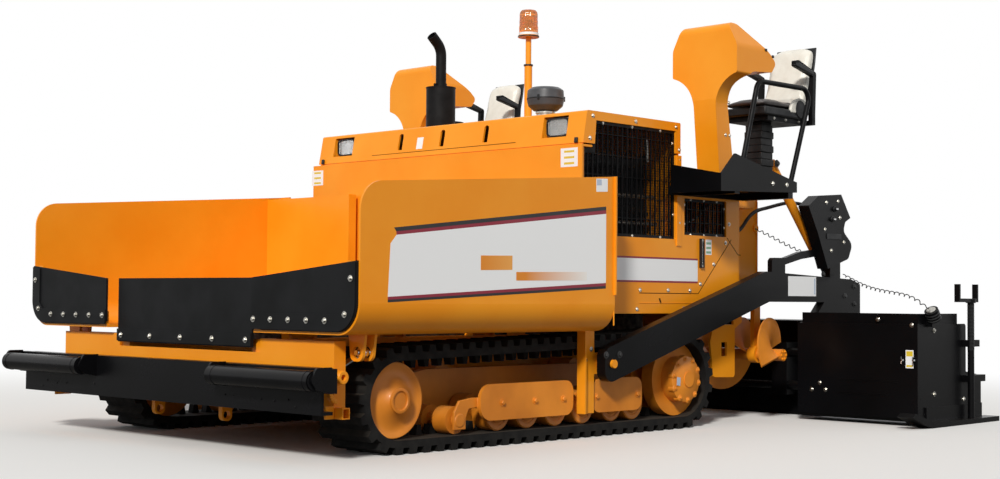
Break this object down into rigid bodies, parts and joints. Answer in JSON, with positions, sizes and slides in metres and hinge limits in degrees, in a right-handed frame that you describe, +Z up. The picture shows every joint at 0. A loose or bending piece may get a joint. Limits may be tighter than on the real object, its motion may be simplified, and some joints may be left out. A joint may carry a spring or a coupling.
{
  "type": "asphalt paver",
  "caption": "Tracked asphalt paver with tilting hopper wings, push rollers, slat conveyor tunnel, spreading augers, towed screed with sliding extensions and twin operator seats.",
  "frame": {"origin": "on the ground plane, under the middle of the machine's overall length and width", "axes": "+X forward towards the hopper and push rollers, +Y to the left of the machine, +Z up"},
  "size_m": [5.47, 4.424, 2.7001],
  "materials": {
    "amber_lens": "gloss",
    "black_paint": "satin",
    "cable_black": "satin",
    "dark_plastic": "matt",
    "dark_steel": "matt",
    "flap_rubber": "matt",
    "lamp": "gloss",
    "orange_paint": "satin",
    "ram_rod_chrome": "polished",
    "seat_cushion": "matt",
    "seat_shell": "matt",
    "track_rubber": "matt"
  },
  "bodies": {
    "machine": {"air_precleaner": "dark_plastic", "auger_frame": "orange_paint", "beacon_lens": "amber_lens", "beacon_pole": "orange_paint", "box_hose": "cable_black", "bumper": "orange_paint", "control_consoles": "orange_paint", "drive_hubs": "orange_paint", "engine_bay": "orange_paint", "engine_block": "dark_steel", "exhaust": "black_paint", "guard_rails": "black_paint", "headlights": "lamp", "hopper_back_wall": "orange_paint", "hopper_floor": "dark_steel", "idler_wheels": "orange_paint", "main_frame": "orange_paint", "middle_flap": "flap_rubber", "operator_platforms": "black_paint", "push_beam": "black_paint", "rear_housing": "orange_paint", "screed_cable": "cable_black", "seat_cushions": "seat_cushion", "seat_frames": "black_paint", "seat_shells": "seat_shell", "side_screens": "black_paint", "slat_conveyors": "dark_steel", "track_frames": "orange_paint", "track_left": "track_rubber", "track_right": "track_rubber", "track_rollers": "orange_paint", "upper_hood": "orange_paint"},
    "wing_left": {"wing_left": "orange_paint", "wing_flap_left": "flap_rubber"},
    "wing_ram_barrel_left": {"wing_ram_barrel_left": "orange_paint"},
    "wing_ram_rod_left": {"wing_ram_rod_left": "ram_rod_chrome"},
    "push_roller_left": {"push_roller_left": "black_paint"},
    "auger_left": {"auger_left": "orange_paint"},
    "lift_ram_barrel_left": {"lift_ram_barrel_left": "orange_paint"},
    "lift_ram_rod_left": {"lift_ram_rod_left": "ram_rod_chrome"},
    "extension_left": {"extension_left": "black_paint"},
    "wing_right": {"wing_right": "orange_paint", "wing_flap_right": "flap_rubber"},
    "wing_ram_barrel_right": {"wing_ram_barrel_right": "orange_paint"},
    "wing_ram_rod_right": {"wing_ram_rod_right": "ram_rod_chrome"},
    "push_roller_right": {"push_roller_right": "black_paint"},
    "auger_right": {"auger_right": "orange_paint"},
    "lift_ram_barrel_right": {"lift_ram_barrel_right": "orange_paint"},
    "lift_ram_rod_right": {"lift_ram_rod_right": "ram_rod_chrome"},
    "extension_right": {"extension_right": "black_paint"},
    "screed": {"tow_arms": "black_paint", "main_screed": "black_paint", "control_boxes": "black_paint", "screed_walkway": "black_paint", "sensor_cable": "cable_black"}
  },
  "joints": [
    {"name": "wing_left_tilt", "type": "hinge", "parent": "machine", "child": "wing_left", "pos_m": [1.565, 0.66, 0.60011], "axis": [1, 0, 0], "range_deg": [0, 42]},
    {"name": "wing_ram_left_swing", "type": "hinge", "parent": "machine", "child": "wing_ram_barrel_left", "pos_m": [2.295, 0.74, 0.27011], "axis": [1, 0, 0], "range_deg": [-1, 34]},
    {"name": "wing_ram_left_stroke", "type": "slide", "parent": "wing_ram_barrel_left", "child": "wing_ram_rod_left", "axis": [0, 0.9044, 0.4266], "range_m": [-0.002, 0.2175]},
    {"name": "wing_right_tilt", "type": "hinge", "parent": "machine", "child": "wing_right", "pos_m": [1.565, -0.66, 0.60011], "axis": [-1, 0, 0], "range_deg": [0, 42]},
    {"name": "wing_ram_right_swing", "type": "hinge", "parent": "machine", "child": "wing_ram_barrel_right", "pos_m": [2.295, -0.74, 0.27011], "axis": [-1, 0, 0], "range_deg": [-1, 34]},
    {"name": "wing_ram_right_stroke", "type": "slide", "parent": "wing_ram_barrel_right", "child": "wing_ram_rod_right", "axis": [0, -0.9044, 0.4266], "range_m": [-0.002, 0.2175]},
    {"name": "push_roller_left_spin", "type": "hinge", "parent": "machine", "child": "push_roller_left", "pos_m": [2.687, 0.99, 0.40011], "axis": [0, 1, 0], "continuous": true},
    {"name": "push_roller_right_spin", "type": "hinge", "parent": "machine", "child": "push_roller_right", "pos_m": [2.687, -0.99, 0.40011], "axis": [0, 1, 0], "continuous": true},
    {"name": "auger_left_spin", "type": "hinge", "parent": "machine", "child": "auger_left", "pos_m": [-1.255, 0.575, 0.43011], "axis": [0, 1, 0], "continuous": true},
    {"name": "auger_right_spin", "type": "hinge", "parent": "machine", "child": "auger_right", "pos_m": [-1.255, -0.575, 0.43011], "axis": [0, 1, 0], "continuous": true},
    {"name": "screed_lift", "type": "hinge", "parent": "machine", "child": "screed", "pos_m": [0.465, 0, 0.41911], "axis": [0, 1, 0], "range_deg": [0, 8]},
    {"name": "lift_ram_left_swing", "type": "hinge", "parent": "machine", "child": "lift_ram_barrel_left", "pos_m": [-1.285, 1.2, 1.67511], "axis": [0, 1, 0], "range_deg": [-1, 13]},
    {"name": "lift_ram_left_stroke", "type": "slide", "parent": "lift_ram_barrel_left", "child": "lift_ram_rod_left", "axis": [0.6845, 0, 0.729], "range_m": [-0.002, 0.295]},
    {"name": "lift_ram_right_swing", "type": "hinge", "parent": "machine", "child": "lift_ram_barrel_right", "pos_m": [-1.285, -1.2, 1.67511], "axis": [0, 1, 0], "range_deg": [-1, 13]},
    {"name": "lift_ram_right_stroke", "type": "slide", "parent": "lift_ram_barrel_right", "child": "lift_ram_rod_right", "axis": [0.6845, 0, 0.729], "range_m": [-0.002, 0.295]},
    {"name": "extension_left_slide", "type": "slide", "parent": "screed", "child": "extension_left", "axis": [0, -1, 0], "range_m": [0, 0.7]},
    {"name": "extension_right_slide", "type": "slide", "parent": "screed", "child": "extension_right", "axis": [0, 1, 0], "range_m": [0, 0.7]}
  ],
  "couplings": [
    {"joint": "wing_ram_left_swing", "follows": "wing_left_tilt", "ratio": 0.775},
    {"joint": "wing_ram_left_stroke", "follows": "wing_left_tilt", "m_per_rad": 0.2943},
    {"joint": "lift_ram_left_swing", "follows": "screed_lift", "ratio": 1.491},
    {"joint": "lift_ram_left_stroke", "follows": "screed_lift", "m_per_rad": 2.094},
    {"joint": "wing_ram_right_swing", "follows": "wing_right_tilt", "ratio": 0.775},
    {"joint": "wing_ram_right_stroke", "follows": "wing_right_tilt", "m_per_rad": 0.2943},
    {"joint": "lift_ram_right_swing", "follows": "screed_lift", "ratio": 1.491},
    {"joint": "lift_ram_right_stroke", "follows": "screed_lift", "m_per_rad": 2.094}
  ]
}
